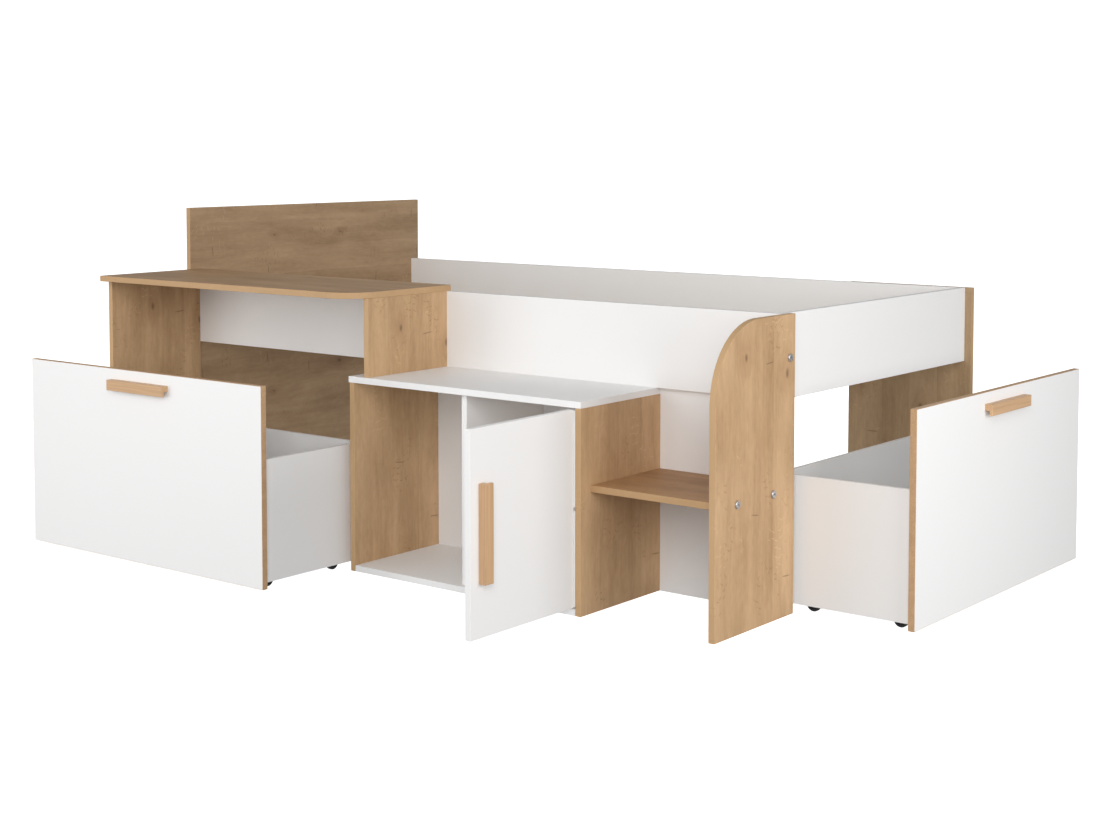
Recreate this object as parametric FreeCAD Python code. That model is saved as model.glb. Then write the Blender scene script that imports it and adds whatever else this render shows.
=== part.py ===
"""Cabin bed: a low single bed with a desk, a cupboard, a shelf nook and two rolling drawers.

Millimetres, +Z up. While the pieces are laid out, x runs from the headboard's inner face
towards the foot, y from the front rail's inner face towards the back, z from the floor.
At the end everything is moved so that the origin is under the middle of the whole bed.
The drawers and the door are modelled open.
"""
import FreeCAD, Part
import os
from math import cos, radians, sin

os.makedirs("parts", exist_ok=True)

# Boards
board = 16.0
edge_radius = 0.8

# Mattress well and the frame around it
mattress_length = 2000.0
mattress_width = 900.0
mattress_end_gap = 3.0
mattress_side_gap = 27.0
rail_bottom = 500.0
rail_height = 200.0
headboard_height = 898.0
headboard_front_reach = 38.0
headboard_back_reach = 35.0
foot_rail_setback = 3.0
front_foot_depth = 334.0
front_foot_radius = 180.0
back_foot_width = 372.0

# Slatted base
cleat_size = 25.0
cleat_lift = 20.0
cleat_end_gap = 4.0
slat_count = 13
slat_width = 68.0
slat_thickness = 18.0
slat_end_gap = 2.0

# Desk
desk_head_gap = 2.0
desk_length = 995.0
desk_depth = 370.0
desk_corner_radius = 90.0
desk_left_depth = 323.0
desk_right_depth = 298.0

# Cupboard and nook
cupboard_desk_overlap = 63.0
cupboard_top_overhang = 3.0
cupboard_top_lip = 1.0
nook_width = 350.0
nook_shelf_top = 302.0
nook_shelf_setback = 37.0

# Door, its hinges and its catch
door_overlap = 21.0
door_hinge_gap = 2.0
door_seam = 3.5
door_rear_gap = 2.0
door_open_angle = 90.0
hinge_inset = 3.0
hinge_spacing = 10.0
hinge_leaf = 0.9
hinge_leaf_depth = 14.0
knuckle_radius = 2.0
knuckle_bore_radius = 1.0
knuckle_gap = 0.3
hinge_axis_reach = 1.5
pin_clearance = 0.05
pin_head_radius = 1.8
pin_head_height = 1.0
catch_length = 46.0
catch_depth = 14.0
catch_height = 13.0
catch_inset = 10.0
strike_length = 34.0
strike_height = 10.0
strike_thickness = 0.8
strike_gap = 0.5

# Drawers
drawer_board = 12.0
drawer_side_gap = 5.0
drawer_floor_gap = 6.0
drawer_front_height = 499.0
drawer_wall_bottom = 16.0
drawer_wall_height = 304.0
drawer_wall_inset = 20.0
drawer_box_depth = 355.0
edging_thickness = 1.0
left_drawer_open = 298.0
right_drawer_open = 307.0

# Castors
wheel_radius = 18.0
wheel_width = 12.0
wheel_edge_radius = 2.5
wheel_dish_radius = 12.0
wheel_dish_depth = 2.0
wheel_top_gap = 7.5
hub_radius = 5.5
axle_radius = 2.5
axle_clearance = 0.05
axle_head_radius = 4.0
axle_head_height = 1.2
fork_wall = 2.5
fork_side_gap = 0.5
fork_wall_gap = 3.0
fork_plate_length = 44.0
fork_plate_rim = 10.0
fork_ear_radius = 7.0
fork_ear_top = 14.0
front_castor_setback = 38.0
rear_castor_setback = 92.0

# Handles
handle_length = 220.0
handle_height = 27.0
handle_depth = 20.0
handle_lip = 8.0
handle_web = 15.0
handle_margin = 28.0
handle_edge_radius = 1.0
handle_screw_spacing = 160.0

# Fixings
fit_clearance = 0.05
drill_overrun = 2.0
bolt_radius = 3.0
bolt_clearance = 0.2
bolt_length = 52.0
bolt_head_radius = 9.5
bolt_head_height = 4.5
bolt_head_round = 2.5
bolt_socket_radius = 2.8
bolt_socket_depth = 2.5
short_bolt_length = 26.0
nut_radius = 5.0
nut_length = 12.0
nut_setback = 30.0
shelf_bolt_front_inset = 52.0
shelf_bolt_rear_inset = 77.0
foot_rail_bolt_spread = 60.0
back_foot_bolt_inset = 85.0
desk_side_bolt_inset = 120.0
dowel_radius = 4.0
dowel_length = 28.0
dowel_share = 10.0
dowel_edge_inset = 45.0
screw_radius = 2.0
screw_head_radius = 3.8
screw_head_height = 1.6
handle_screw_bite = 9.0
castor_screw_radius = 1.5
castor_screw_head_radius = 2.8
castor_screw_length = 11.0
castor_screw_inset = 6.0
cleat_screw_count = 8
cleat_screw_length = 36.0
slat_screw_length = 34.0
hinge_screw_radius = 1.5
hinge_screw_head_radius = 2.6
hinge_screw_head_height = 0.7
hinge_screw_length = 11.0
hinge_screw_inset = 12.0
hinge_screw_count = 4
hinge_screw_reach = 8.0

# Places that follow from the sizes above
well_length = mattress_length + mattress_end_gap
well_width = mattress_width + mattress_side_gap
rail_top = rail_bottom + rail_height
rail_middle = rail_bottom + rail_height / 2
rail_face = -board
foot_rail_end = well_length + board
foot_inner = foot_rail_end + foot_rail_setback
foot_outer = foot_inner + board
back_rail_rear = well_width + board
back_foot_rear = back_rail_rear + board
back_foot_start = foot_outer - back_foot_width
carcass_rear = board
carcass_front = carcass_rear - front_foot_depth
desk_end = desk_head_gap + desk_length
desk_right_inner = desk_end - board
cupboard_start = desk_end - cupboard_desk_overlap
cupboard_end = foot_inner - nook_width
cupboard_inside = cupboard_start + board
cupboard_inside_end = cupboard_end - board
cupboard_top_bottom = rail_bottom - board
divider_start = (cupboard_inside + cupboard_inside_end - board) / 2
divider_end = divider_start + board
door_inner_face = carcass_front + board
divider_front = door_inner_face + door_rear_gap
shelf_bottom = nook_shelf_top - board
shelf_middle = nook_shelf_top - board / 2
shelf_front = carcass_front + nook_shelf_setback
cleat_bottom = rail_bottom + cleat_lift
cleat_top = cleat_bottom + cleat_size
slat_top = cleat_top + slat_thickness
slat_pitch = well_length / slat_count
slat_middles = [slat_pitch * (index + 1 / 2) for index in range(slat_count)]
drawer_front_top = drawer_floor_gap + drawer_front_height
drawer_wall_top = drawer_wall_bottom + drawer_wall_height
drawer_box_rear = board + drawer_box_depth
drawer_bottom_lift = 2 * wheel_radius + wheel_top_gap + fork_wall
fork_half = wheel_width / 2 + fork_side_gap + fork_wall
wheel_offset = drawer_wall_inset + drawer_board + fork_wall_gap + fork_half
handle_screw_z = handle_height / 2 - handle_web / 2
handle_screw_xs = (-handle_screw_spacing / 2, handle_screw_spacing / 2)

UP = FreeCAD.Vector(0, 0, 1)
DOWN = FreeCAD.Vector(0, 0, -1)
TO_FOOT = FreeCAD.Vector(1, 0, 0)
TO_HEAD = FreeCAD.Vector(-1, 0, 0)
TO_BACK = FreeCAD.Vector(0, 1, 0)
TO_FRONT = FreeCAD.Vector(0, -1, 0)

nodes = {}


def block(x0, x1, y0, y1, z0, z1):
    """A rectangular piece between two corners."""
    return Part.makeBox(x1 - x0, y1 - y0, z1 - z0, FreeCAD.Vector(x0, y0, z0))


def softened(shape):
    """A board with all its edges slightly rounded."""
    return shape.makeFillet(edge_radius, shape.Edges)


def panel(x0, x1, y0, y1, z0, z1):
    """A rectangular board with slightly rounded edges."""
    return softened(block(x0, x1, y0, y1, z0, z1))


def rod(start, direction, radius, length):
    """A round bar from a point along a direction."""
    return Part.makeCylinder(radius, length, start, direction)


def placed(shape, placement):
    """A copy of a shape at a placement."""
    copy = shape.copy()
    copy.Placement = placement.multiply(copy.Placement)
    return copy


def bore(names, drill):
    """Cut one drill's hole in each of the named pieces."""
    for name in names:
        nodes[name] = nodes[name].cut(drill)


def spread(start, end, count):
    """Evenly spaced places from start to end."""
    step = (end - start) / (count - 1)
    return [start + step * index for index in range(count)]


def flush_screw(start, direction, radius, length, head_radius, head_height):
    """A screw whose flat head is sunk into the face where start is."""
    head = rod(start, direction, head_radius, head_height)
    return rod(start, direction, radius, length).fuse(head).removeSplitter()


def raised_screw(start, direction, radius, length, head_radius, head_height):
    """A screw whose flat head stands on the face where start is."""
    head = rod(start, direction * -1, head_radius, head_height)
    return rod(start, direction, radius, length).fuse(head).removeSplitter()


# Bed frame: headboard, corner panels and rails
headboard_rear = well_width + headboard_back_reach
nodes["headboard"] = panel(-board, 0, -headboard_front_reach, headboard_rear, 0, headboard_height)
nodes["front_rail"] = panel(0, foot_inner, rail_face, 0, rail_bottom, rail_top)
nodes["back_rail"] = panel(0, well_length, well_width, back_rail_rear, rail_bottom, rail_top)
nodes["foot_rail"] = panel(well_length, foot_rail_end, 0, back_rail_rear, rail_bottom, rail_top)
nodes["back_foot_panel"] = panel(
    back_foot_start, foot_outer, back_rail_rear, back_foot_rear, 0, rail_top
)


def front_foot_panel():
    """The front corner panel, its upper front corner rounded."""
    blank = block(foot_inner, foot_outer, carcass_front, carcass_rear, 0, rail_top)
    corner = [
        edge
        for edge in blank.Edges
        if edge.CenterOfMass.z > rail_top - fit_clearance
        and edge.CenterOfMass.y < carcass_front + fit_clearance
    ]
    return softened(blank.makeFillet(front_foot_radius, corner))


nodes["front_foot_panel"] = front_foot_panel()

# Slatted base: two cleats along the rails and slats across them
cleat_end = well_length - cleat_end_gap
back_cleat_face = well_width - cleat_size
nodes["front_cleat"] = block(cleat_end_gap, cleat_end, 0, cleat_size, cleat_bottom, cleat_top)
nodes["back_cleat"] = block(
    cleat_end_gap, cleat_end, back_cleat_face, well_width, cleat_bottom, cleat_top
)
slat_half = slat_width / 2
slat_ends = (slat_end_gap, well_width - slat_end_gap)
nodes["slats"] = Part.makeCompound(
    [panel(x - slat_half, x + slat_half, *slat_ends, cleat_top, slat_top) for x in slat_middles]
)

# Cupboard: a carcass with an open bay on the left and a bay behind the door
for name, start in (
    ("cupboard_left_side", cupboard_start),
    ("cupboard_right_side", cupboard_inside_end),
):
    nodes[name] = panel(start, start + board, carcass_front, carcass_rear, 0, cupboard_top_bottom)
nodes["cupboard_top"] = panel(
    cupboard_start - cupboard_top_overhang,
    cupboard_end,
    carcass_front - cupboard_top_lip,
    carcass_rear,
    cupboard_top_bottom,
    rail_bottom,
)
nodes["cupboard_base"] = panel(cupboard_inside, cupboard_inside_end, carcass_front, 0, 0, board)
nodes["cupboard_back"] = panel(
    cupboard_inside, cupboard_inside_end, 0, carcass_rear, 0, cupboard_top_bottom
)
nodes["cupboard_divider"] = panel(
    divider_start, divider_end, divider_front, 0, board, cupboard_top_bottom
)

# Nook: a shelf and a back between the cupboard and the front corner panel
nodes["nook_back"] = panel(cupboard_end, foot_inner, 0, carcass_rear, 0, rail_bottom)
nodes["nook_shelf"] = panel(cupboard_end, foot_inner, shelf_front, 0, shelf_bottom, nook_shelf_top)


def desk_top():
    """The desk's top, its free front corner rounded."""
    blank = block(desk_head_gap, desk_end, -desk_depth, 0, rail_top, rail_top + board)
    corner = [
        edge
        for edge in blank.Edges
        if edge.CenterOfMass.x > desk_end - fit_clearance
        and edge.CenterOfMass.y < fit_clearance - desk_depth
    ]
    return softened(blank.makeFillet(desk_corner_radius, corner))


# Desk: a top on a full-height left side and on a short right side that stands on the cupboard
nodes["desk_top"] = desk_top()
nodes["desk_left_side"] = panel(0, board, rail_face - desk_left_depth, rail_face, 0, rail_top)
nodes["desk_right_side"] = panel(
    desk_right_inner, desk_end, rail_face - desk_right_depth, rail_face, rail_bottom, rail_top
)

# Bolts: long ones into board ends, with barrel nuts, and short ones through faces
bolts = []
barrel_nuts = []


def cap_bolt(start, direction, length):
    """A bolt with a rounded cap and a hexagon socket; start is on the face under the cap."""
    cap_top = start - direction * bolt_head_height
    head = rod(start, direction * -1, bolt_head_radius, bolt_head_height)
    rim = [edge for edge in head.Edges if (edge.CenterOfMass - cap_top).Length < fit_clearance]
    head = head.makeFillet(bolt_head_round, rim)
    corners = [
        FreeCAD.Vector(cos(radians(60 * turn)), sin(radians(60 * turn)), 0) * bolt_socket_radius
        for turn in range(7)
    ]
    key = Part.Face(Part.makePolygon(corners)).extrude(UP * bolt_socket_depth)
    key.Placement = FreeCAD.Placement(cap_top, FreeCAD.Rotation(UP, direction))
    return rod(start, direction, bolt_radius, length).fuse(head.cut(key)).removeSplitter()


def end_bolt(through, into, start, direction, nut_axis):
    """A bolt through one board into another's end, with a barrel nut across that end."""
    bolts.append(cap_bolt(start, direction, bolt_length))
    depth = bolt_length + drill_overrun
    bore([through, into], rod(start, direction, bolt_radius + bolt_clearance, depth))
    nut_start = start + direction * (board + nut_setback) - nut_axis * (nut_length / 2)
    thread = rod(start, direction, bolt_radius + fit_clearance, depth)
    barrel_nuts.append(rod(nut_start, nut_axis, nut_radius, nut_length).cut(thread))
    bore([into], rod(nut_start, nut_axis, nut_radius + fit_clearance, board))


def short_bolt(through, into, start, direction):
    """A short bolt through one board into the face of the next."""
    bolts.append(cap_bolt(start, direction, short_bolt_length))
    hole = rod(start, direction, bolt_radius + fit_clearance, short_bolt_length)
    bore([through, into], hole)


front_rail_y = rail_face / 2
back_rail_y = well_width + board / 2
foot_rail_x = well_length + board / 2
for panel_name, panel_x, inward in (
    ("front_foot_panel", foot_outer, TO_HEAD),
    ("headboard", -board, TO_FOOT),
):
    start = FreeCAD.Vector(panel_x, front_rail_y, rail_middle)
    end_bolt(panel_name, "front_rail", start, inward, TO_BACK)
start = FreeCAD.Vector(-board, back_rail_y, rail_middle)
end_bolt("headboard", "back_rail", start, TO_FOOT, TO_FRONT)
for shelf_y in (shelf_front + shelf_bolt_front_inset, -shelf_bolt_rear_inset):
    start = FreeCAD.Vector(foot_outer, shelf_y, shelf_middle)
    end_bolt("front_foot_panel", "nook_shelf", start, TO_HEAD, DOWN)
for level in (rail_middle - foot_rail_bolt_spread, rail_middle + foot_rail_bolt_spread):
    start = FreeCAD.Vector(foot_rail_x, back_foot_rear, level)
    end_bolt("back_foot_panel", "foot_rail", start, TO_FRONT, TO_HEAD)
    start = FreeCAD.Vector(foot_rail_x, rail_face, level)
    end_bolt("front_rail", "foot_rail", start, TO_BACK, TO_HEAD)
for bolt_x in (back_foot_start + back_foot_bolt_inset, well_length - back_foot_bolt_inset):
    start = FreeCAD.Vector(bolt_x, back_foot_rear, rail_middle)
    short_bolt("back_foot_panel", "back_rail", start, TO_FRONT)
for level in (desk_side_bolt_inset, rail_top - desk_side_bolt_inset):
    start = FreeCAD.Vector(-board, (rail_face - headboard_front_reach) / 2, level)
    short_bolt("headboard", "desk_left_side", start, TO_FOOT)
nodes["frame_bolts"] = Part.makeCompound(bolts)
nodes["barrel_nuts"] = Part.makeCompound(barrel_nuts)

# Dowels, a short end in one board's face and the rest in the other's edge
dowels = []


def dowel(through, into, point, direction):
    """A dowel where two boards meet at point; direction leads into the second board's edge."""
    start = point - direction * dowel_share
    dowels.append(rod(start, direction, dowel_radius, dowel_length))
    bore([through, into], rod(start, direction, dowel_radius + fit_clearance, dowel_length))


for side, start_x, inner_x, inward in (
    ("cupboard_left_side", cupboard_start, cupboard_inside, TO_FOOT),
    ("cupboard_right_side", cupboard_inside_end, cupboard_inside_end, TO_HEAD),
):
    for y in spread(carcass_front + dowel_edge_inset, -dowel_edge_inset, 3):
        on_top = FreeCAD.Vector(start_x + board / 2, y, cupboard_top_bottom)
        dowel("cupboard_top", side, on_top, DOWN)
        dowel(side, "cupboard_base", FreeCAD.Vector(inner_x, y, board / 2), inward)
divider_x = (divider_start + divider_end) / 2
for y in (divider_front + dowel_edge_inset, -dowel_edge_inset):
    at_top = FreeCAD.Vector(divider_x, y, cupboard_top_bottom)
    dowel("cupboard_top", "cupboard_divider", at_top, DOWN)
    dowel("cupboard_base", "cupboard_divider", FreeCAD.Vector(divider_x, y, board), UP)
for y in (shelf_front + dowel_edge_inset, -dowel_edge_inset):
    at_shelf = FreeCAD.Vector(cupboard_end, y, shelf_middle)
    dowel("cupboard_right_side", "nook_shelf", at_shelf, TO_FOOT)
for side, side_x, depth in (
    ("desk_left_side", board / 2, desk_left_depth),
    ("desk_right_side", desk_right_inner + board / 2, desk_right_depth),
):
    for y in spread(rail_face - depth + dowel_edge_inset, rail_face - dowel_edge_inset, 3):
        dowel("desk_top", side, FreeCAD.Vector(side_x, y, rail_top), DOWN)
        if side == "desk_right_side":
            dowel("cupboard_top", side, FreeCAD.Vector(side_x, y, rail_bottom), UP)
nodes["dowels"] = Part.makeCompound(dowels)

# Screws of the slatted base, heads sunk
support_screws = []


def support_screw(names, start, direction, length):
    """A screw through the first named piece into the next, with its hole."""
    head = (screw_head_radius, screw_head_height)
    support_screws.append(flush_screw(start, direction, screw_radius, length, *head))
    hole_head = (screw_head_radius + fit_clearance, screw_head_height)
    bore(names, flush_screw(start, direction, screw_radius + fit_clearance, length, *hole_head))


for cleat, rail, face_y, outward in (
    ("front_cleat", "front_rail", cleat_size, TO_FRONT),
    ("back_cleat", "back_rail", back_cleat_face, TO_BACK),
):
    for x in spread(slat_pitch, well_length - slat_pitch, cleat_screw_count):
        start = FreeCAD.Vector(x, face_y, cleat_bottom + cleat_size / 3)
        support_screw([cleat, rail], start, outward, cleat_screw_length)
for x in slat_middles:
    for cleat, y in (
        ("front_cleat", cleat_size / 2),
        ("back_cleat", well_width - cleat_size / 2),
    ):
        support_screw(["slats", cleat], FreeCAD.Vector(x, y, slat_top), DOWN, slat_screw_length)
nodes["support_screws"] = Part.makeCompound(support_screws)


def handle_fixings(clearance):
    """The two screws that hold a handle from behind a front, or their holes."""
    return [
        raised_screw(
            FreeCAD.Vector(x, board, handle_screw_z),
            TO_FRONT,
            screw_radius + clearance,
            board + handle_screw_bite,
            screw_head_radius,
            screw_head_height,
        )
        for x in handle_screw_xs
    ]


def handle():
    """A bar handle along x: a web on the face at y = 0 and a lip that hangs in front of it."""
    half = handle_length / 2
    top = handle_height / 2
    bar = block(-half, half, -handle_depth, 0, -top, top)
    front_edges = [
        edge for edge in bar.Edges if edge.CenterOfMass.y < fit_clearance - handle_depth
    ]
    bar = bar.makeFillet(handle_edge_radius, front_edges)
    bar = bar.cut(block(-half, half, handle_lip - handle_depth, 0, -top, top - handle_web))
    for drill in handle_fixings(fit_clearance):
        bar = bar.cut(drill)
    return bar


# Door of the right bay, laid out closed
door_end = cupboard_inside_end - door_hinge_gap
door_start = divider_end - door_overlap
door_bottom = board + door_seam
door_top = cupboard_top_bottom - door_seam
hinge_x = cupboard_inside_end - door_hinge_gap / 2
hinge_y = carcass_front - hinge_axis_reach
door_panel = panel(door_start, door_end, carcass_front, door_inner_face, door_bottom, door_top)

# The door's handle stands upright near the free edge and is gripped from the hinge side
door_handle_x = door_start + handle_margin + handle_height / 2
door_handle_place = FreeCAD.Placement(
    FreeCAD.Vector(door_handle_x, carcass_front, (door_bottom + door_top) / 2),
    FreeCAD.Rotation(TO_BACK, -90),
)
door_handle = placed(handle(), door_handle_place)
door_screws = [placed(one, door_handle_place) for one in handle_fixings(0)]
for drill in handle_fixings(fit_clearance):
    door_panel = door_panel.cut(placed(drill, door_handle_place))

# Two long butt hinges, one above the other: a leaf on the side, a leaf on the door's edge,
# knuckles and a pin before the gap
side_leaves = []
side_screws = []
door_leaves = []
hinge_pins = []
hinge_length = (door_top - door_bottom - 2 * hinge_inset - hinge_spacing) / 2
hinge_screw_pitch = (hinge_length - 2 * hinge_screw_inset) / (hinge_screw_count - 1)
knuckle = hinge_length / 3
leaf_rear = carcass_front + hinge_leaf_depth
barrel_front = hinge_y - 2 * knuckle_radius
barrel_rear = hinge_y + knuckle_radius + knuckle_gap
hinge_hole = hinge_screw_radius + fit_clearance
hinge_head = (hinge_screw_length, hinge_screw_head_radius, hinge_screw_head_height)
hinge_sink = (hinge_screw_length, hinge_screw_head_radius + fit_clearance, hinge_screw_head_height)


def side_leaf(low):
    """The leaf on the cupboard's side, with the upper and lower knuckles."""
    face = cupboard_inside_end
    plate = block(face - hinge_leaf, face, hinge_y, leaf_rear, low, low + hinge_length)
    barrel = rod(FreeCAD.Vector(hinge_x, hinge_y, low), UP, knuckle_radius, hinge_length)
    middle = block(
        door_start, cupboard_end, barrel_front, barrel_rear, low + knuckle, low + 2 * knuckle
    )
    return plate.fuse(barrel).cut(middle)


def door_leaf(low):
    """The leaf on the door's edge, with the middle knuckle."""
    plate = block(door_end, door_end + hinge_leaf, hinge_y, leaf_rear, low, low + hinge_length)
    for end_low in (low, low + 2 * knuckle - knuckle_gap):
        end_high = end_low + knuckle + knuckle_gap
        plate = plate.cut(
            block(door_start, cupboard_end, barrel_front, barrel_rear, end_low, end_high)
        )
    foot = FreeCAD.Vector(hinge_x, hinge_y, low + knuckle + knuckle_gap)
    return plate.fuse(rod(foot, UP, knuckle_radius, knuckle - 2 * knuckle_gap))


def hinge_pin(low):
    """The pin through a hinge's knuckles, with a flat head."""
    foot = FreeCAD.Vector(hinge_x, hinge_y, low)
    pin = rod(foot, UP, knuckle_bore_radius - pin_clearance, hinge_length)
    head = rod(foot + UP * hinge_length, UP, pin_head_radius, pin_head_height)
    return pin.fuse(head).removeSplitter()


for low in (door_bottom + hinge_inset, door_top - hinge_inset - hinge_length):
    pin_hole = rod(FreeCAD.Vector(hinge_x, hinge_y, low), UP, knuckle_bore_radius, hinge_length)
    on_side = side_leaf(low).cut(pin_hole)
    on_door = door_leaf(low).cut(pin_hole)
    for order in range(hinge_screw_count):
        z = low + hinge_screw_inset + order * hinge_screw_pitch
        y = carcass_front + hinge_screw_reach
        seat = FreeCAD.Vector(cupboard_inside_end - hinge_leaf, y, z)
        side_screws.append(flush_screw(seat, TO_FOOT, hinge_screw_radius, *hinge_head))
        drill = flush_screw(seat, TO_FOOT, hinge_hole, *hinge_sink)
        on_side = on_side.cut(drill)
        bore(["cupboard_right_side"], drill)
        seat = FreeCAD.Vector(door_end + hinge_leaf, y, z)
        door_screws.append(flush_screw(seat, TO_HEAD, hinge_screw_radius, *hinge_head))
        drill = flush_screw(seat, TO_HEAD, hinge_hole, *hinge_sink)
        on_door = on_door.cut(drill)
        door_panel = door_panel.cut(drill)
    side_leaves.append(on_side.removeSplitter())
    door_leaves.append(on_door.removeSplitter())
    hinge_pins.append(hinge_pin(low))
nodes["hinge_side_leaves"] = Part.makeCompound(side_leaves)
nodes["hinge_screws"] = Part.makeCompound(side_screws)
nodes["hinge_pins"] = Part.makeCompound(hinge_pins)

# Magnet catch on the cupboard's base, and its strike plate on the door
catch_start = divider_end + catch_inset
catch_front = door_inner_face + strike_thickness + strike_gap
nodes["magnet_catch"] = block(
    catch_start,
    catch_start + catch_length,
    catch_front,
    catch_front + catch_depth,
    board,
    board + catch_height,
)
strike_start = catch_start + (catch_length - strike_length) / 2
strike_bottom = door_bottom + edge_radius
strike_plate = block(
    strike_start,
    strike_start + strike_length,
    door_inner_face,
    door_inner_face + strike_thickness,
    strike_bottom,
    strike_bottom + strike_height,
)

# The door and all that is on it swing open about the hinge line
hinge_line = FreeCAD.Vector(hinge_x, hinge_y, 0)
door_swing = FreeCAD.Placement(
    FreeCAD.Vector(0, 0, 0), FreeCAD.Rotation(UP, door_open_angle), hinge_line
)
nodes["door_panel"] = placed(door_panel, door_swing)
nodes["door_handle"] = placed(door_handle, door_swing)
nodes["door_screws"] = placed(Part.makeCompound(door_screws), door_swing)
nodes["door_hinge_leaves"] = placed(Part.makeCompound(door_leaves), door_swing)
nodes["door_strike_plate"] = placed(strike_plate, door_swing)


def wheel():
    """A castor wheel about the x axis: rounded tread, dished sides and a bored hub."""
    half = wheel_width / 2
    disc = rod(FreeCAD.Vector(-half, 0, 0), TO_FOOT, wheel_radius, wheel_width)
    rims = [
        edge for edge in disc.Edges if abs(abs(edge.CenterOfMass.x) - half) < fit_clearance
    ]
    disc = disc.makeFillet(wheel_edge_radius, rims)
    for side in (-1, 1):
        outside = FreeCAD.Vector(side * half, 0, 0)
        inward = TO_FOOT * -side
        dish = rod(outside, inward, wheel_dish_radius, wheel_dish_depth)
        disc = disc.cut(dish.cut(rod(outside, inward, hub_radius, wheel_dish_depth)))
    return disc.cut(
        rod(FreeCAD.Vector(-half, 0, 0), TO_FOOT, axle_radius + axle_clearance, wheel_width)
    )


def axle_rod():
    """The plain length of an axle, across both ears of a fork."""
    return rod(FreeCAD.Vector(-fork_half, 0, 0), TO_FOOT, axle_radius, 2 * fork_half)


def axle():
    """An axle with a riveted head at each end."""
    shape = axle_rod()
    for side in (-1, 1):
        end = FreeCAD.Vector(side * fork_half, 0, 0)
        shape = shape.fuse(rod(end, TO_FOOT * side, axle_head_radius, axle_head_height))
    return shape.removeSplitter()


def fork():
    """A fixed castor's bracket about the wheel's middle: a plate and two ears for the axle."""
    top = drawer_bottom_lift - wheel_radius
    low = top - fork_wall
    reach = fork_plate_length / 2
    bracket = block(-fork_half, fork_half + fork_plate_rim, -reach, reach, low, top)
    for start in (-fork_half, fork_half - fork_wall):
        corners = [
            FreeCAD.Vector(start, -fork_ear_radius, 0),
            FreeCAD.Vector(start, fork_ear_radius, 0),
            FreeCAD.Vector(start, fork_ear_top, low),
            FreeCAD.Vector(start, -fork_ear_top, low),
            FreeCAD.Vector(start, -fork_ear_radius, 0),
        ]
        flank = Part.Face(Part.makePolygon(corners)).extrude(TO_FOOT * fork_wall)
        round_end = rod(FreeCAD.Vector(start, 0, 0), TO_FOOT, fork_ear_radius, fork_wall)
        bracket = bracket.fuse(flank.fuse(round_end))
    return bracket.removeSplitter().cut(axle_rod())


def castor_screw_seats():
    """Where a castor's four screws seat, under its plate."""
    low = drawer_bottom_lift - wheel_radius - fork_wall
    reach = fork_plate_length / 2 - castor_screw_inset
    return [
        FreeCAD.Vector(across, along, low)
        for across in (0, fork_half + fork_plate_rim / 2)
        for along in (-reach, reach)
    ]


def drawer_castors(half):
    """The four castors of a drawer of a given half width, and their screws."""
    forks = []
    axles = []
    wheels = []
    screws = []
    drills = []
    head = (castor_screw_length, castor_screw_head_radius, screw_head_height)
    for y in (board + front_castor_setback, drawer_box_rear - rear_castor_setback):
        for end, turn in ((-1, 0), (1, 180)):
            hub = FreeCAD.Vector(end * (half - wheel_offset), y, wheel_radius)
            place = FreeCAD.Placement(hub, FreeCAD.Rotation(UP, turn))
            bracket = placed(fork(), place)
            for seat in castor_screw_seats():
                at = place.multVec(seat)
                screws.append(raised_screw(at, UP, castor_screw_radius, *head))
                drills.append(
                    rod(at, UP, castor_screw_radius + fit_clearance, castor_screw_length)
                )
                bracket = bracket.cut(drills[-1])
            forks.append(bracket)
            axles.append(placed(axle(), place))
            wheels.append(placed(wheel(), place))
    return forks, axles, wheels, screws, drills


def drawer(width):
    """A rolling drawer: x across, y = 0 at the front's outer face and y inwards."""
    half = width / 2
    core = half - edging_thickness
    core_low = drawer_floor_gap + edging_thickness
    core_block = block(-core, core, 0, board, core_low, drawer_front_top - edging_thickness)
    outline = panel(-half, half, 0, board, drawer_floor_gap, drawer_front_top)
    handle_z = drawer_front_top - handle_margin - handle_height / 2
    handle_place = FreeCAD.Placement(FreeCAD.Vector(0, 0, handle_z), FreeCAD.Rotation())
    front = core_block
    for drill in handle_fixings(fit_clearance):
        front = front.cut(placed(drill, handle_place))

    outer = half - drawer_wall_inset
    inner = outer - drawer_board
    rear = drawer_box_rear - drawer_board
    levels = (drawer_wall_bottom, drawer_wall_top)
    walls = [
        panel(start, start + drawer_board, board, drawer_box_rear, *levels)
        for start in (-outer, inner)
    ]
    floor_top = drawer_bottom_lift + drawer_board
    bottom = block(-inner, inner, board, rear, drawer_bottom_lift, floor_top)
    forks, axles, wheels, screws, drills = drawer_castors(half)
    screws += [placed(one, handle_place) for one in handle_fixings(0)]
    pieces = {
        "front": front,
        "edging": outline.cut(core_block),
        "handle": placed(handle(), handle_place),
        "side_walls": Part.makeCompound(walls),
        "rear_wall": panel(-inner, inner, rear, drawer_box_rear, *levels),
        "bottom": bottom.cut(Part.makeCompound(drills)),
        "screws": Part.makeCompound(screws),
        "castor_forks": Part.makeCompound(forks),
        "castor_axles": Part.makeCompound(axles),
    }
    for number, one in enumerate(wheels, 1):
        pieces[f"wheel_{number}"] = one
    return pieces


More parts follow.
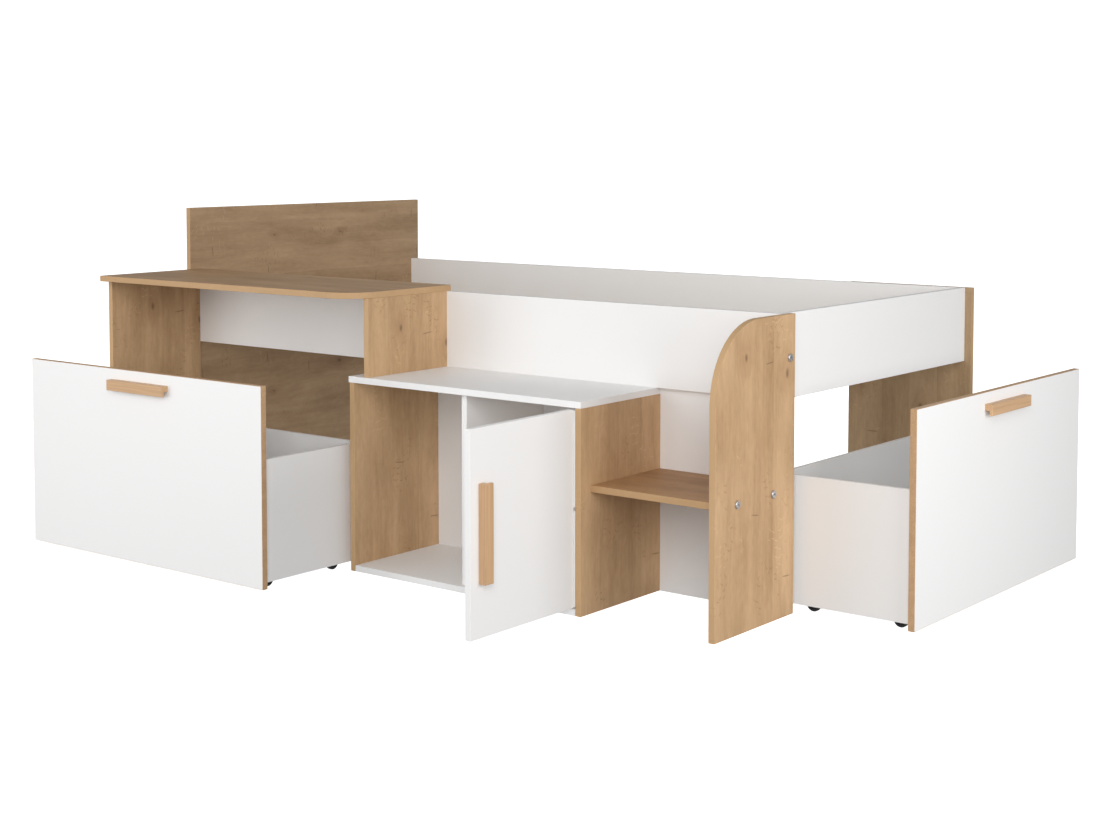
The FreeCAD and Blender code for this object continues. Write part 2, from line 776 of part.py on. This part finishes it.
# One drawer under the desk pulls out to the front, the other under the bed to the foot end
left_width = cupboard_start - board - 2 * drawer_side_gap
left_place = FreeCAD.Placement(
    FreeCAD.Vector((board + cupboard_start) / 2, carcass_front - left_drawer_open, 0),
    FreeCAD.Rotation(),
)
right_width = back_rail_rear - carcass_rear - 2 * drawer_side_gap
right_place = FreeCAD.Placement(
    FreeCAD.Vector(foot_outer + right_drawer_open, (carcass_rear + back_rail_rear) / 2, 0),
    FreeCAD.Rotation(UP, 90),
)
for side, width, place in (
    ("left", left_width, left_place),
    ("right", right_width, right_place),
):
    for name, shape in drawer(width).items():
        nodes[f"{side}_drawer_{name}"] = placed(shape, place)

# Origin on the floor under the middle of the whole bed
whole = Part.makeCompound(list(nodes.values())).optimalBoundingBox()
to_origin = FreeCAD.Vector(-(whole.XMin + whole.XMax) / 2, -(whole.YMin + whole.YMax) / 2, 0)
for name, shape in nodes.items():
    moved = shape.copy()
    moved.translate(to_origin)
    moved.exportStep(f"parts/{name}.step")
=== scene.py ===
import math

import bpy
import numpy as np
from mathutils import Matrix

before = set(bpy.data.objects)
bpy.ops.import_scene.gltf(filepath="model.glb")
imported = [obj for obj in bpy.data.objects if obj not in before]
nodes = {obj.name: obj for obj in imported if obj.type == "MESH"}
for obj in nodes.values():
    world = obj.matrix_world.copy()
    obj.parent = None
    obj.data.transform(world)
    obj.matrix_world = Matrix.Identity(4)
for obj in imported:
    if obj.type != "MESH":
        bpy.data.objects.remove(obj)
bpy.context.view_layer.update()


# Headboard: one tall board across the head end, chipboard faced with light-oak
# melamine whose figure runs across the bed, its edges banded in plain oak foil.

def link(tree, source, target):
    """Join an output to an input of a node tree."""
    tree.links.new(source, target)


def math_node(tree, operation, first, second=None, clamp=False):
    """A Math node: each operand is a number or another node's output."""
    node = tree.nodes.new("ShaderNodeMath")
    node.operation = operation
    node.use_clamp = clamp
    for socket, value in zip(node.inputs, (first, second)):
        if isinstance(value, (int, float)):
            socket.default_value = value
        elif value is not None:
            link(tree, value, socket)
    return node.outputs[0]


def scale_add(tree, value, gain, base):
    """A value times a gain plus a base, which is a number or another node's output."""
    return math_node(tree, "ADD", math_node(tree, "MULTIPLY", value, gain), base)


def vector_node(tree, operation, *operands):
    """A Vector Math node: each operand is a tuple or another node's output."""
    node = tree.nodes.new("ShaderNodeVectorMath")
    node.operation = operation
    for socket, value in zip(node.inputs, operands):
        if isinstance(value, tuple):
            socket.default_value = value
        else:
            link(tree, value, socket)
    return node.outputs["Value" if operation == "DOT_PRODUCT" else "Vector"]


def ramp_between(tree, value, low, high):
    """A smooth step of a value from 0 at low to 1 at high."""
    node = tree.nodes.new("ShaderNodeMapRange")
    node.interpolation_type = "SMOOTHSTEP"
    node.inputs["From Min"].default_value = low
    node.inputs["From Max"].default_value = high
    link(tree, value, node.inputs["Value"])
    return node.outputs["Result"]


def falls(tree, value, low, high):
    """1 below low, smoothly down to 0 above high."""
    return math_node(tree, "SUBTRACT", 1, ramp_between(tree, value, low, high))


def blend_colours(tree, mode, factor, first, second):
    """A colour Mix node: factor is a number or an output, the colours are tuples or outputs."""
    node = tree.nodes.new("ShaderNodeMix")
    node.data_type = "RGBA"
    node.blend_type = mode
    factor_in, first_in, second_in = node.inputs[0], node.inputs[6], node.inputs[7]
    for socket, value in ((factor_in, factor), (first_in, first), (second_in, second)):
        if isinstance(value, (int, float)):
            socket.default_value = value
        elif isinstance(value, tuple):
            socket.default_value = (*value, 1)
        else:
            link(tree, value, socket)
    return node.outputs[2]


def stretched_noise(tree, vector, stretch, detail, roughness=0.5):
    """Noise read at a vector times a stretch, in features per metre along and across the grain."""
    noise = tree.nodes.new("ShaderNodeTexNoise")
    noise.inputs["Scale"].default_value = 1
    noise.inputs["Detail"].default_value = detail
    noise.inputs["Roughness"].default_value = roughness
    link(tree, vector_node(tree, "MULTIPLY", vector, stretch), noise.inputs["Vector"])
    return noise.outputs["Fac"]


def scattered_marks(tree, vector, per_metre, shift, share):
    """One mark per cell of a loose grid, kept in a share of the cells: the distances along and
    across the grain from the cell's mark, in metres, 1 where the cell has a mark, and its lot."""
    scaled = vector_node(tree, "MULTIPLY_ADD", vector, (*per_metre, 0.0), (*shift, 0.0))
    cells = tree.nodes.new("ShaderNodeTexVoronoi")
    cells.voronoi_dimensions = "2D"
    cells.inputs["Scale"].default_value = 1
    cells.inputs["Randomness"].default_value = 0.85
    link(tree, scaled, cells.inputs["Vector"])
    apart = vector_node(tree, "SUBTRACT", scaled, cells.outputs["Position"])
    cell_size = (1 / per_metre[0], 1 / per_metre[1], 0.0)
    local = tree.nodes.new("ShaderNodeSeparateXYZ")
    link(tree, vector_node(tree, "MULTIPLY", apart, cell_size), local.inputs[0])
    lot = tree.nodes.new("ShaderNodeSeparateColor")
    link(tree, cells.outputs["Color"], lot.inputs[0])
    here = math_node(tree, "LESS_THAN", lot.outputs["Red"], share)
    return local.outputs["X"], local.outputs["Y"], here, lot.outputs["Green"]


def cross_strokes(tree, vector, per_metre, shift, share, half_width, half_length, slant):
    """Short strokes across the grain, one in a share of the cells: 1 inside a stroke, which leans
    along the grain by slant times its distance across it and fades out at its sides and ends."""
    full_side, full_end = 0.3 * half_width, 0.4 * half_length
    along, across, here, lot = scattered_marks(tree, vector, per_metre, shift, share)
    lean = math_node(tree, "MULTIPLY", math_node(tree, "SUBTRACT", lot, 0.5), 2 * slant)
    leaned = math_node(tree, "ADD", along, math_node(tree, "MULTIPLY", across, lean))
    thin = falls(tree, math_node(tree, "ABSOLUTE", leaned), full_side, half_width)
    short = falls(tree, math_node(tree, "ABSOLUTE", across), full_end, half_length)
    return math_node(tree, "MULTIPLY", here, math_node(tree, "MULTIPLY", thin, short))


def group_sockets(tree, inputs):
    """Give a finish's node group its inputs and its three outputs; its inner end nodes."""
    outputs = (("Colour", "Color"), ("Roughness", "Float"), ("Height", "Float"))
    for direction, sockets in (("INPUT", inputs), ("OUTPUT", outputs)):
        for name, kind in sockets:
            tree.interface.new_socket(name, in_out=direction, socket_type=f"NodeSocket{kind}")
    return tree.nodes.new("NodeGroupInput"), tree.nodes.new("NodeGroupOutput")


def oak_figure():
    """Oak as a node group: x of its vector runs along the grain, in metres.

    The tone adds bands, streaks, mottle and fibres, which are noise drawn out along the grain
    and bent round scattered knots, to slow clouds and a step per stave. Knots, short cracks across
    the grain, scars in clusters and fine pores darken it, ray flecks in clusters lighten it, and
    the pores sink in.
    """
    tree = bpy.data.node_groups.new("oak_figure", "ShaderNodeTree")
    inside, outside = group_sockets(
        tree, (("Along Grain", "Vector"), ("Pale", "Color"), ("Deep", "Color"))
    )
    plain = inside.outputs["Along Grain"]

    knot_squeeze, knot_spread = 0.6, 1.1
    wobble = stretched_noise(tree, plain, (28.0, 34.0, 34.0), detail=2)
    knot_x, knot_y, knot_here, knot_lot = scattered_marks(
        tree, plain, per_metre=(3.1, 6.2), shift=(0.3, 0.7), share=0.55
    )
    knot_along = math_node(tree, "POWER", math_node(tree, "MULTIPLY", knot_x, knot_squeeze), 2)
    knot_far = math_node(tree, "ADD", knot_along, math_node(tree, "POWER", knot_y, 2))
    knot_size = scale_add(tree, knot_lot, knot_spread, wobble)
    knot_far = math_node(tree, "DIVIDE", math_node(tree, "SQRT", knot_far), knot_size)
    halo = math_node(tree, "MULTIPLY", knot_here, falls(tree, knot_far, low=0.003, high=0.034))
    core = math_node(tree, "MULTIPLY", knot_here, falls(tree, knot_far, low=0.0012, high=0.0062))
    cracks = cross_strokes(
        tree, plain, per_metre=(4.1, 5.6), shift=(5.1, 2.2), share=0.6,
        half_width=0.0022, half_length=0.020, slant=0.15,
    )
    scar_clouds = stretched_noise(tree, plain, (7.0, 12.0, 12.0), detail=1)
    scar_area = ramp_between(tree, scar_clouds, low=0.60, high=0.68)
    scars = cross_strokes(
        tree, plain, per_metre=(60.0, 75.0), shift=(0.6, 3.3), share=0.6,
        half_width=0.0021, half_length=0.0065, slant=1.1,
    )
    fleck_clouds = stretched_noise(tree, plain, (6.1, 10.3, 10.3), detail=1)
    fleck_area = ramp_between(tree, fleck_clouds, low=0.61, high=0.69)
    flecks = cross_strokes(
        tree, plain, per_metre=(48.0, 66.0), shift=(2.6, 8.1), share=0.6,
        half_width=0.0019, half_length=0.0085, slant=0.9,
    )

    bend_reach, knot_pull = 0.085, -0.8
    slow = stretched_noise(tree, plain, (1.9, 8.0, 8.0), detail=3)
    bend = math_node(tree, "MULTIPLY", math_node(tree, "SUBTRACT", slow, 0.5), bend_reach)
    bulge = math_node(tree, "MULTIPLY", math_node(tree, "MULTIPLY", knot_y, halo), knot_pull)
    shift = tree.nodes.new("ShaderNodeCombineXYZ")
    link(tree, math_node(tree, "ADD", bend, bulge), shift.inputs["Y"])
    link(tree, bend, shift.inputs["Z"])
    flow = vector_node(tree, "ADD", plain, shift.outputs[0])

    bands = stretched_noise(tree, flow, (2.4, 17.0, 17.0), detail=2, roughness=0.4)
    streaks = stretched_noise(tree, flow, (5.0, 85.0, 85.0), detail=3, roughness=0.55)
    fibres = stretched_noise(tree, flow, (16.0, 420.0, 420.0), detail=3, roughness=0.6)
    clouds = stretched_noise(tree, plain, (6.0, 11.0, 11.0), detail=3, roughness=0.6)
    mottle = stretched_noise(tree, flow, (42.0, 125.0, 125.0), detail=2, roughness=0.6)
    pore_lines = stretched_noise(tree, flow, (42.0, 760.0, 760.0), detail=2)
    pores = ramp_between(tree, pore_lines, low=0.60, high=0.74)

    staves_per_metre = 12.0
    axes = tree.nodes.new("ShaderNodeSeparateXYZ")
    link(tree, plain, axes.inputs[0])
    stave_place = math_node(tree, "MULTIPLY", axes.outputs["Y"], staves_per_metre)
    stave = tree.nodes.new("ShaderNodeTexWhiteNoise")
    stave.noise_dimensions = "1D"
    link(tree, math_node(tree, "FLOOR", stave_place), stave.inputs["W"])

    tone = 0.5
    for part, weight in (
        (bands, 1.15), (streaks, 0.7), (fibres, 0.38), (clouds, 0.8), (mottle, 0.5),
        (stave.outputs["Value"], 0.36),
    ):
        tone = scale_add(tree, math_node(tree, "SUBTRACT", part, 0.5), weight, tone)
    fleck_gain, scar_loss, halo_loss, pore_loss = 0.5, 0.4, 0.26, 0.13
    core_cover, crack_cover = 0.6, 0.5
    brown_glaze, knot_brown = (0.46, 0.33, 0.21), (0.12, 0.066, 0.032)
    fleck_clusters = math_node(tree, "MULTIPLY", flecks, fleck_area)
    lighter = math_node(tree, "MULTIPLY", fleck_clusters, fleck_gain)
    tone = math_node(tree, "ADD", tone, lighter, clamp=True)
    colour = blend_colours(tree, "MIX", tone, inside.outputs["Deep"], inside.outputs["Pale"])
    scar_clusters = math_node(tree, "MULTIPLY", scars, scar_area)
    darker = math_node(tree, "MULTIPLY", scar_clusters, scar_loss)
    darker = scale_add(tree, halo, halo_loss, darker)
    darker = scale_add(tree, pores, pore_loss, darker)
    colour = blend_colours(tree, "MULTIPLY", darker, colour, brown_glaze)
    marks = scale_add(tree, core, core_cover, math_node(tree, "MULTIPLY", cracks, crack_cover))
    colour = blend_colours(tree, "MIX", marks, colour, knot_brown)
    link(tree, colour, outside.inputs["Colour"])
    link(tree, scale_add(tree, streaks, 0.12, 0.46), outside.inputs["Roughness"])
    fibre_rise, pore_depth = 0.5, 0.6
    sunk = math_node(tree, "MULTIPLY", pores, pore_depth)
    relief = math_node(tree, "SUBTRACT", math_node(tree, "MULTIPLY", fibres, fibre_rise), sunk)
    link(tree, relief, outside.inputs["Height"])
    return tree


def new_material(name):
    """A fresh material, its node tree, its Principled shader and its coordinates."""
    material = bpy.data.materials.new(name)
    material.use_nodes = True
    tree = material.node_tree
    return material, tree, tree.nodes["Principled BSDF"], tree.nodes.new("ShaderNodeTexCoord")


def along_grain(tree, place, order):
    """Object x, y, z taken in the given order as along, across and through the grain."""
    split = tree.nodes.new("ShaderNodeSeparateXYZ")
    link(tree, place.outputs["Object"], split.inputs[0])
    turned = tree.nodes.new("ShaderNodeCombineXYZ")
    for socket, axis in zip(("X", "Y", "Z"), order):
        link(tree, split.outputs[axis], turned.inputs[socket])
    return turned.outputs[0]


def add_bump(tree, shader, height, strength, distance):
    """Raise the shader's surface by a height times a distance in metres."""
    bump = tree.nodes.new("ShaderNodeBump")
    bump.inputs["Strength"].default_value = strength
    bump.inputs["Distance"].default_value = distance
    link(tree, height, bump.inputs["Height"])
    link(tree, bump.outputs[0], shader.inputs["Normal"])


def oak_material(name, order, offset, face, pale, deep):
    """Oak melamine, its figure moved by an offset so that boards differ.

    Where the surface's own normal leaves the board's face axis, it is the plainer edge band.
    """
    material, tree, shader, place = new_material(name)
    figure = tree.nodes.new("ShaderNodeGroup")
    figure.node_tree = oak_group
    figure.inputs["Pale"].default_value = (*pale, 1)
    figure.inputs["Deep"].default_value = (*deep, 1)
    moved = vector_node(tree, "ADD", along_grain(tree, place, order), offset)
    link(tree, moved, figure.inputs["Along Grain"])

    facing = vector_node(tree, "DOT_PRODUCT", place.outputs["Normal"], face)
    edge = falls(tree, math_node(tree, "ABSOLUTE", facing), low=0.55, high=0.75)
    banded = blend_colours(tree, "MIX", oak_band_cover, figure.outputs["Colour"], oak_band)
    colour = blend_colours(tree, "MIX", edge, figure.outputs["Colour"], banded)
    link(tree, colour, shader.inputs["Base Color"])
    link(tree, figure.outputs["Roughness"], shader.inputs["Roughness"])
    shader.inputs["Specular IOR Level"].default_value = 0.35
    add_bump(tree, shader, figure.outputs["Height"], strength=0.12, distance=0.0004)
    return material


def cover(material, *names):
    """Give CAD pieces a finish."""
    for name in names:
        nodes[name].material_slots[0].material = material


oak_group = oak_figure()
oak_band = (0.575, 0.37, 0.19)
oak_band_cover = 0.72
# Painted shade: the headboard's pale and deep tones are darker than the upright oak's, standing in
# for the weaker light at the far head end; its grain across the bed is its own.
headboard_oak_shaded = oak_material(
    "oak_across_bed_shaded", order=("Y", "Z", "X"), offset=(3.1, 0.4, 0.0), face=(1, 0, 0),
    pale=(0.510, 0.351, 0.211), deep=(0.321, 0.202, 0.110),
)
cover(headboard_oak_shaded, "headboard")


# Front foot panel, cupboard sides and desk sides: upright oak boards that stand along
# the depth of the bed, figure running up, bolted or dowelled to what they carry.
upright_oak = oak_material(
    "oak_upright", order=("Z", "Y", "X"), offset=(0.7, 1.3, 0.2), face=(1, 0, 0),
    pale=(0.664, 0.440, 0.246), deep=(0.423, 0.258, 0.130),
)
cover(
    upright_oak, "front_foot_panel", "cupboard_left_side", "cupboard_right_side",
    "desk_left_side", "desk_right_side",
)


# Back foot panel: an upright oak board flat against the back rail at the foot end,
# figure running up, bolted to the rails. Its tones are a darker copy of the upright oak,
# painted shade for the shade it stands in under the bed.
back_oak_shaded = oak_material(
    "oak_upright_back_shaded", order=("Z", "X", "Y"), offset=(2.2, 0.9, 0.5), face=(0, 1, 0),
    pale=(0.507, 0.355, 0.208), deep=(0.326, 0.210, 0.113),
)
cover(back_oak_shaded, "back_foot_panel")


# Desk top and nook shelf: level oak boards with their figure along the bed, the desk's
# free corner rounded and banded all round.
# Painted shade: the desk top's tones are darker than the upright oak's for the dimmer light on
# level tops, and the nook shelf's are darker and redder still for the shade in the nook under the
# bed.
desk_oak_shaded = oak_material(
    "oak_level_shaded", order=("X", "Y", "Z"), offset=(1.6, 2.7, 0.1), face=(0, 0, 1),
    pale=(0.581, 0.376, 0.209), deep=(0.374, 0.224, 0.113),
)
shelf_oak_shaded = oak_material(
    "oak_shelf_shaded", order=("X", "Y", "Z"), offset=(4.2, 0.6, 0.3), face=(0, 0, 1),
    pale=(0.500, 0.289, 0.140), deep=(0.323, 0.171, 0.076),
)
cover(desk_oak_shaded, "desk_top")
cover(shelf_oak_shaded, "nook_shelf")


# White boards: rails, cupboard carcass, nook back, door and drawers, chipboard faced and
# edged in matt white melamine with a faint pearl texture.

def melamine_pearl():
    """The pressed texture of white melamine as a node group.

    Height is fine even noise; Colour is a tint whose tone drifts by about a hundredth.
    """
    tree = bpy.data.node_groups.new("melamine_pearl", "ShaderNodeTree")
    inside, outside = group_sockets(tree, (("Place", "Vector"), ("Tint", "Color")))
    drift_cover, drift_grey = 0.035, (0.80, 0.79, 0.78)
    pearl = stretched_noise(tree, inside.outputs["Place"], (820.0, 820.0, 820.0), detail=2)
    drift = stretched_noise(tree, inside.outputs["Place"], (4.0, 4.0, 4.0), detail=3)
    amount = math_node(tree, "MULTIPLY", drift, drift_cover)
    colour = blend_colours(tree, "MULTIPLY", amount, inside.outputs["Tint"], drift_grey)
    link(tree, colour, outside.inputs["Colour"])
    link(tree, scale_add(tree, pearl, 0.10, 0.42), outside.inputs["Roughness"])
    link(tree, pearl, outside.inputs["Height"])
    return tree


def white_material(name, tint, bump_strength):
    """Matt white melamine or lacquer of a given tint."""
    material, tree, shader, place = new_material(name)
    pearl = tree.nodes.new("ShaderNodeGroup")
    pearl.node_tree = pearl_group
    pearl.inputs["Tint"].default_value = (*tint, 1)
    link(tree, place.outputs["Object"], pearl.inputs["Place"])
    link(tree, pearl.outputs["Colour"], shader.inputs["Base Color"])
    link(tree, pearl.outputs["Roughness"], shader.inputs["Roughness"])
    shader.inputs["Specular IOR Level"].default_value = 0.4
    add_bump(tree, shader, pearl.outputs["Height"], bump_strength, distance=0.0002)
    return material


pearl_group = melamine_pearl()
white_melamine = white_material("white_melamine", tint=(0.905, 0.90, 0.895), bump_strength=0.10)
cover(
    white_melamine, "front_rail", "back_rail", "foot_rail", "cupboard_top", "cupboard_base",
    "cupboard_back", "cupboard_divider", "nook_back", "door_panel",
)
for side in ("left", "right"):
    for piece in ("front", "side_walls", "rear_wall", "bottom"):
        cover(white_melamine, f"{side}_drawer_{piece}")


# Drawer edging: oak foil glued round the four edges of each white drawer front, plain and
# straight-grained along the strip.

def foil_material(name, order, pale, deep):
    """Plain oak foil: fine fibres along the strip between two near tones."""
    material, tree, shader, place = new_material(name)
    along = along_grain(tree, place, order)
    fibre_share, drift_share = 0.7, 0.3
    fibres = stretched_noise(tree, along, (6.0, 380.0, 380.0), detail=4, roughness=0.6)
    drift = stretched_noise(tree, along, (2.0, 60.0, 60.0), detail=2)
    tone = scale_add(tree, fibres, fibre_share, math_node(tree, "MULTIPLY", drift, drift_share))
    tone = ramp_between(tree, tone, low=0.3, high=0.7)
    link(tree, blend_colours(tree, "MIX", tone, deep, pale), shader.inputs["Base Color"])
    link(tree, scale_add(tree, fibres, 0.15, 0.38), shader.inputs["Roughness"])
    shader.inputs["Specular IOR Level"].default_value = 0.4
    add_bump(tree, shader, fibres, strength=0.10, distance=0.0003)
    return material


foil_pale = (0.60, 0.385, 0.215)
foil_deep = (0.47, 0.29, 0.155)
for side, order in (("left", ("X", "Y", "Z")), ("right", ("Y", "X", "Z"))):
    edging_foil = foil_material(f"oak_edging_{side}", order, foil_pale, foil_deep)
    cover(edging_foil, f"{side}_drawer_edging")


# Handles: short bars milled from plain oak with a finger groove behind the lip, screwed
# on from inside; upright on the door, level on the drawers.
handle_pale = (0.66, 0.42, 0.235)
handle_deep = (0.53, 0.325, 0.175)
for handle, order in (
    ("left_drawer_handle", ("X", "Y", "Z")),
    ("right_drawer_handle", ("Y", "X", "Z")),
    ("door_handle", ("Z", "X", "Y")),
):
    cover(foil_material(f"oak_bar_{handle}", order, handle_pale, handle_deep), handle)


# Slatted base: bare pine slats across the bed, screwed to pine cleats along the rails.
# The dowels that join the boards are left as bare.

def pine_material(name, order, offset):
    """Bare pine: wide soft rings along the piece, a few streaks, matt."""
    material, tree, shader, place = new_material(name)
    moved = vector_node(tree, "ADD", along_grain(tree, place, order), offset)
    ring_share, fibre_share = 0.7, 0.3
    late_wood, early_wood = (0.60, 0.46, 0.30), (0.80, 0.68, 0.50)
    rings = stretched_noise(tree, moved, (1.5, 70.0, 70.0), detail=3)
    fibres = stretched_noise(tree, moved, (5.0, 420.0, 420.0), detail=3, roughness=0.6)
    tone = scale_add(tree, rings, ring_share, math_node(tree, "MULTIPLY", fibres, fibre_share))
    tone = ramp_between(tree, tone, low=0.32, high=0.68)
    colour = blend_colours(tree, "MIX", tone, late_wood, early_wood)
    link(tree, colour, shader.inputs["Base Color"])
    link(tree, scale_add(tree, fibres, 0.2, 0.5), shader.inputs["Roughness"])
    add_bump(tree, shader, fibres, strength=0.2, distance=0.0004)
    return material


cover(pine_material("pine_slats", ("Y", "X", "Z"), offset=(0.3, 1.1, 0.6)), "slats")
pine_cleats = pine_material("pine_cleats", ("X", "Y", "Z"), offset=(2.4, 0.2, 0.9))
cover(pine_cleats, "front_cleat", "back_cleat")
cover(pine_material("beech_dowels", ("Z", "X", "Y"), offset=(0.8, 0.8, 0.1)), "dowels")


# Fixings: zinc-plated bolts, nuts and screws and a nickel-plated strike plate, turned or
# pressed steel with a faint brushing; the hinges are lacquered white like the door.

def plated_material(name, tint, roughness):
    """Plated steel: a mottled, finely scratched metal, rougher or smoother by a tenth."""
    material, tree, shader, place = new_material(name)
    scratches = stretched_noise(
        tree, place.outputs["Object"], (900.0, 900.0, 2600.0), detail=3, roughness=0.6
    )
    mottle = stretched_noise(tree, place.outputs["Object"], (260.0, 260.0, 260.0), detail=3)
    darker = tuple(0.72 * value for value in tint)
    tone = ramp_between(tree, mottle, low=0.3, high=0.65)
    link(tree, blend_colours(tree, "MIX", tone, darker, tint), shader.inputs["Base Color"])
    link(tree, scale_add(tree, scratches, 0.2, roughness - 0.1), shader.inputs["Roughness"])
    shader.inputs["Metallic"].default_value = 1
    add_bump(tree, shader, scratches, strength=0.08, distance=0.0002)
    return material


zinc = plated_material("zinc_plate", tint=(0.64, 0.63, 0.63), roughness=0.45)
nickel = plated_material("nickel_plate", tint=(0.66, 0.65, 0.63), roughness=0.28)
white_lacquer = white_material("white_lacquer", tint=(0.82, 0.815, 0.80), bump_strength=0.05)
cover(zinc, "frame_bolts", "barrel_nuts", "support_screws", "hinge_screws", "door_screws")
for side in ("left", "right"):
    cover(zinc, f"{side}_drawer_screws", f"{side}_drawer_castor_axles")
cover(nickel, "door_strike_plate")
cover(white_lacquer, "hinge_side_leaves", "hinge_pins", "door_hinge_leaves")


# Castors and magnet catch: fixed brackets and wheels moulded in black plastic, dulled by
# dust, and the catch's white housing on the base of the cupboard.

def moulded_material(name, tint, roughness):
    """Moulded plastic: spark-eroded texture, dust paling the tone a little."""
    material, tree, shader, place = new_material(name)
    spark = stretched_noise(tree, place.outputs["Object"], (1500.0, 1500.0, 1500.0), detail=2)
    dust = stretched_noise(
        tree, place.outputs["Object"], (70.0, 70.0, 70.0), detail=4, roughness=0.6
    )
    paler = tuple(value * 1.25 + 0.01 for value in tint)
    tone = ramp_between(tree, dust, low=0.45, high=0.75)
    link(tree, blend_colours(tree, "MIX", tone, tint, paler), shader.inputs["Base Color"])
    link(tree, scale_add(tree, dust, 0.2, roughness - 0.1), shader.inputs["Roughness"])
    add_bump(tree, shader, spark, strength=0.15, distance=0.0002)
    return material


castor_black = moulded_material("castor_black", tint=(0.016, 0.016, 0.017), roughness=0.45)
catch_white = moulded_material("catch_white", tint=(0.78, 0.78, 0.77), roughness=0.4)
for side in ("left", "right"):
    for piece in ("castor_forks", "wheel_1", "wheel_2", "wheel_3", "wheel_4"):
        cover(castor_black, f"{side}_drawer_{piece}")
cover(catch_white, "magnet_catch")


# Studio: a plain white cove that bends up all round the bed, and soft boxes beside the camera,
# before the front, low at its left, before the foot end and behind. The cove shows white and
# sheds no light.

def cove(radius, bend, height):
    """A round floor that bends up into a wall: a profile, level out to radius, then a quarter
    circle of radius bend, then straight up to height, carried round z; one face closes the
    floor, which lies a little below the feet."""
    floor_drop, arc_points, turn_points = 0.0005, 17, 96
    arc = np.linspace(0, math.pi / 2, arc_points)
    reach = np.append(radius + bend * np.sin(arc), radius + bend)
    level = np.append(bend * (1 - np.cos(arc)), height) - floor_drop
    turn = np.linspace(0, 2 * math.pi, turn_points, endpoint=False)
    x = reach[:, None] * np.cos(turn)
    y = reach[:, None] * np.sin(turn)
    z = np.repeat(level[:, None], turn_points, axis=1)
    points = np.stack([x, y, z], axis=-1).reshape(-1, 3)
    row = turn_points * np.arange(len(reach) - 1)[:, None]
    above = row + turn_points
    here = np.arange(turn_points)
    after = np.roll(here, -1)
    corners = [row + here, above + here, above + after, row + after]
    faces = np.stack(corners, axis=-1).reshape(-1, 4)
    mesh = bpy.data.meshes.new("floor")
    mesh.from_pydata(points.tolist(), [], faces.tolist() + [here.tolist()])
    return mesh


floor_mesh = cove(radius=16.0, bend=4.0, height=14.0)
floor = bpy.data.objects.new("floor", floor_mesh)
bpy.context.scene.collection.objects.link(floor)
floor_white = bpy.data.materials.new("floor_white")
floor_white.use_nodes = True
floor_shader = floor_white.node_tree.nodes["Principled BSDF"]
floor_shader.inputs["Base Color"].default_value = (0.86, 0.86, 0.86, 1)
floor_shader.inputs["Roughness"].default_value = 0.9
floor_shader.inputs["Emission Color"].default_value = (1, 1, 1, 1)
floor_shader.inputs["Emission Strength"].default_value = 1.0
floor_mesh.materials.append(floor_white)
floor.visible_diffuse = False
floor.visible_glossy = False
floor.visible_transmission = False
floor.visible_shadow = False

world = bpy.data.worlds.new("studio")
bpy.context.scene.world = world
world.use_nodes = True
sky = world.node_tree.nodes["Background"]
sky.inputs["Color"].default_value = (1, 1, 1, 1)
sky.inputs["Strength"].default_value = 0.375


def soft_box(name, place, aim, width, height, power):
    """A rectangular soft box at a place, facing a point."""
    light = bpy.data.lights.new(name, "AREA")
    light.shape = "RECTANGLE"
    light.size = width
    light.size_y = height
    light.energy = power
    lamp = bpy.data.objects.new(name, light)
    lamp.location = place
    away_x, away_y, away_z = np.array(place) - np.array(aim)
    tip = math.atan2(math.hypot(away_x, away_y), away_z)
    lamp.rotation_euler = (tip, 0, math.atan2(away_x, -away_y))
    bpy.context.scene.collection.objects.link(lamp)
    return lamp


soft_box(
    "camera_box", place=(3.0, -3.9, 2.15), aim=(0.2, 0.0, 0.4), width=1.6, height=2.8, power=101
)
soft_box(
    "front_box", place=(-0.9, -3.2, 1.4), aim=(-0.6, 0.0, 0.4), width=2.2, height=1.2, power=18
)
soft_box(
    "left_box", place=(-2.0, -3.0, 0.5), aim=(0.2, -0.2, 0.35), width=1.4, height=0.8, power=17
)
soft_box(
    "foot_box", place=(3.2, -0.4, 0.87), aim=(0.6, 0.1, 0.4), width=1.8, height=1.1, power=29
)
back_box = soft_box(
    "back_box", place=(-2.6, 3.0, 0.75), aim=(-0.1, 0.2, 0.45), width=2.6, height=1.0, power=52
)
back_box.visible_camera = False
back_box.visible_glossy = False


# Camera: at sitting height to the right of the front, tipped a little down, with the rest of
# the drop in the lens shift, so that uprights stay nearly upright.
camera_data = bpy.data.cameras.new("camera")
camera_data.sensor_width = 36.0
camera_data.lens = 59.276
camera_data.shift_y = -0.1451
camera_data.clip_end = 100.0
camera = bpy.data.objects.new("camera", camera_data)
camera.location = (2.993, -3.73, 1.0942)
camera.rotation_euler = (math.radians(86.5), 0, 0.6682)
bpy.context.scene.collection.objects.link(camera)
bpy.context.scene.camera = camera
bpy.context.scene.view_settings.view_transform = "Standard"
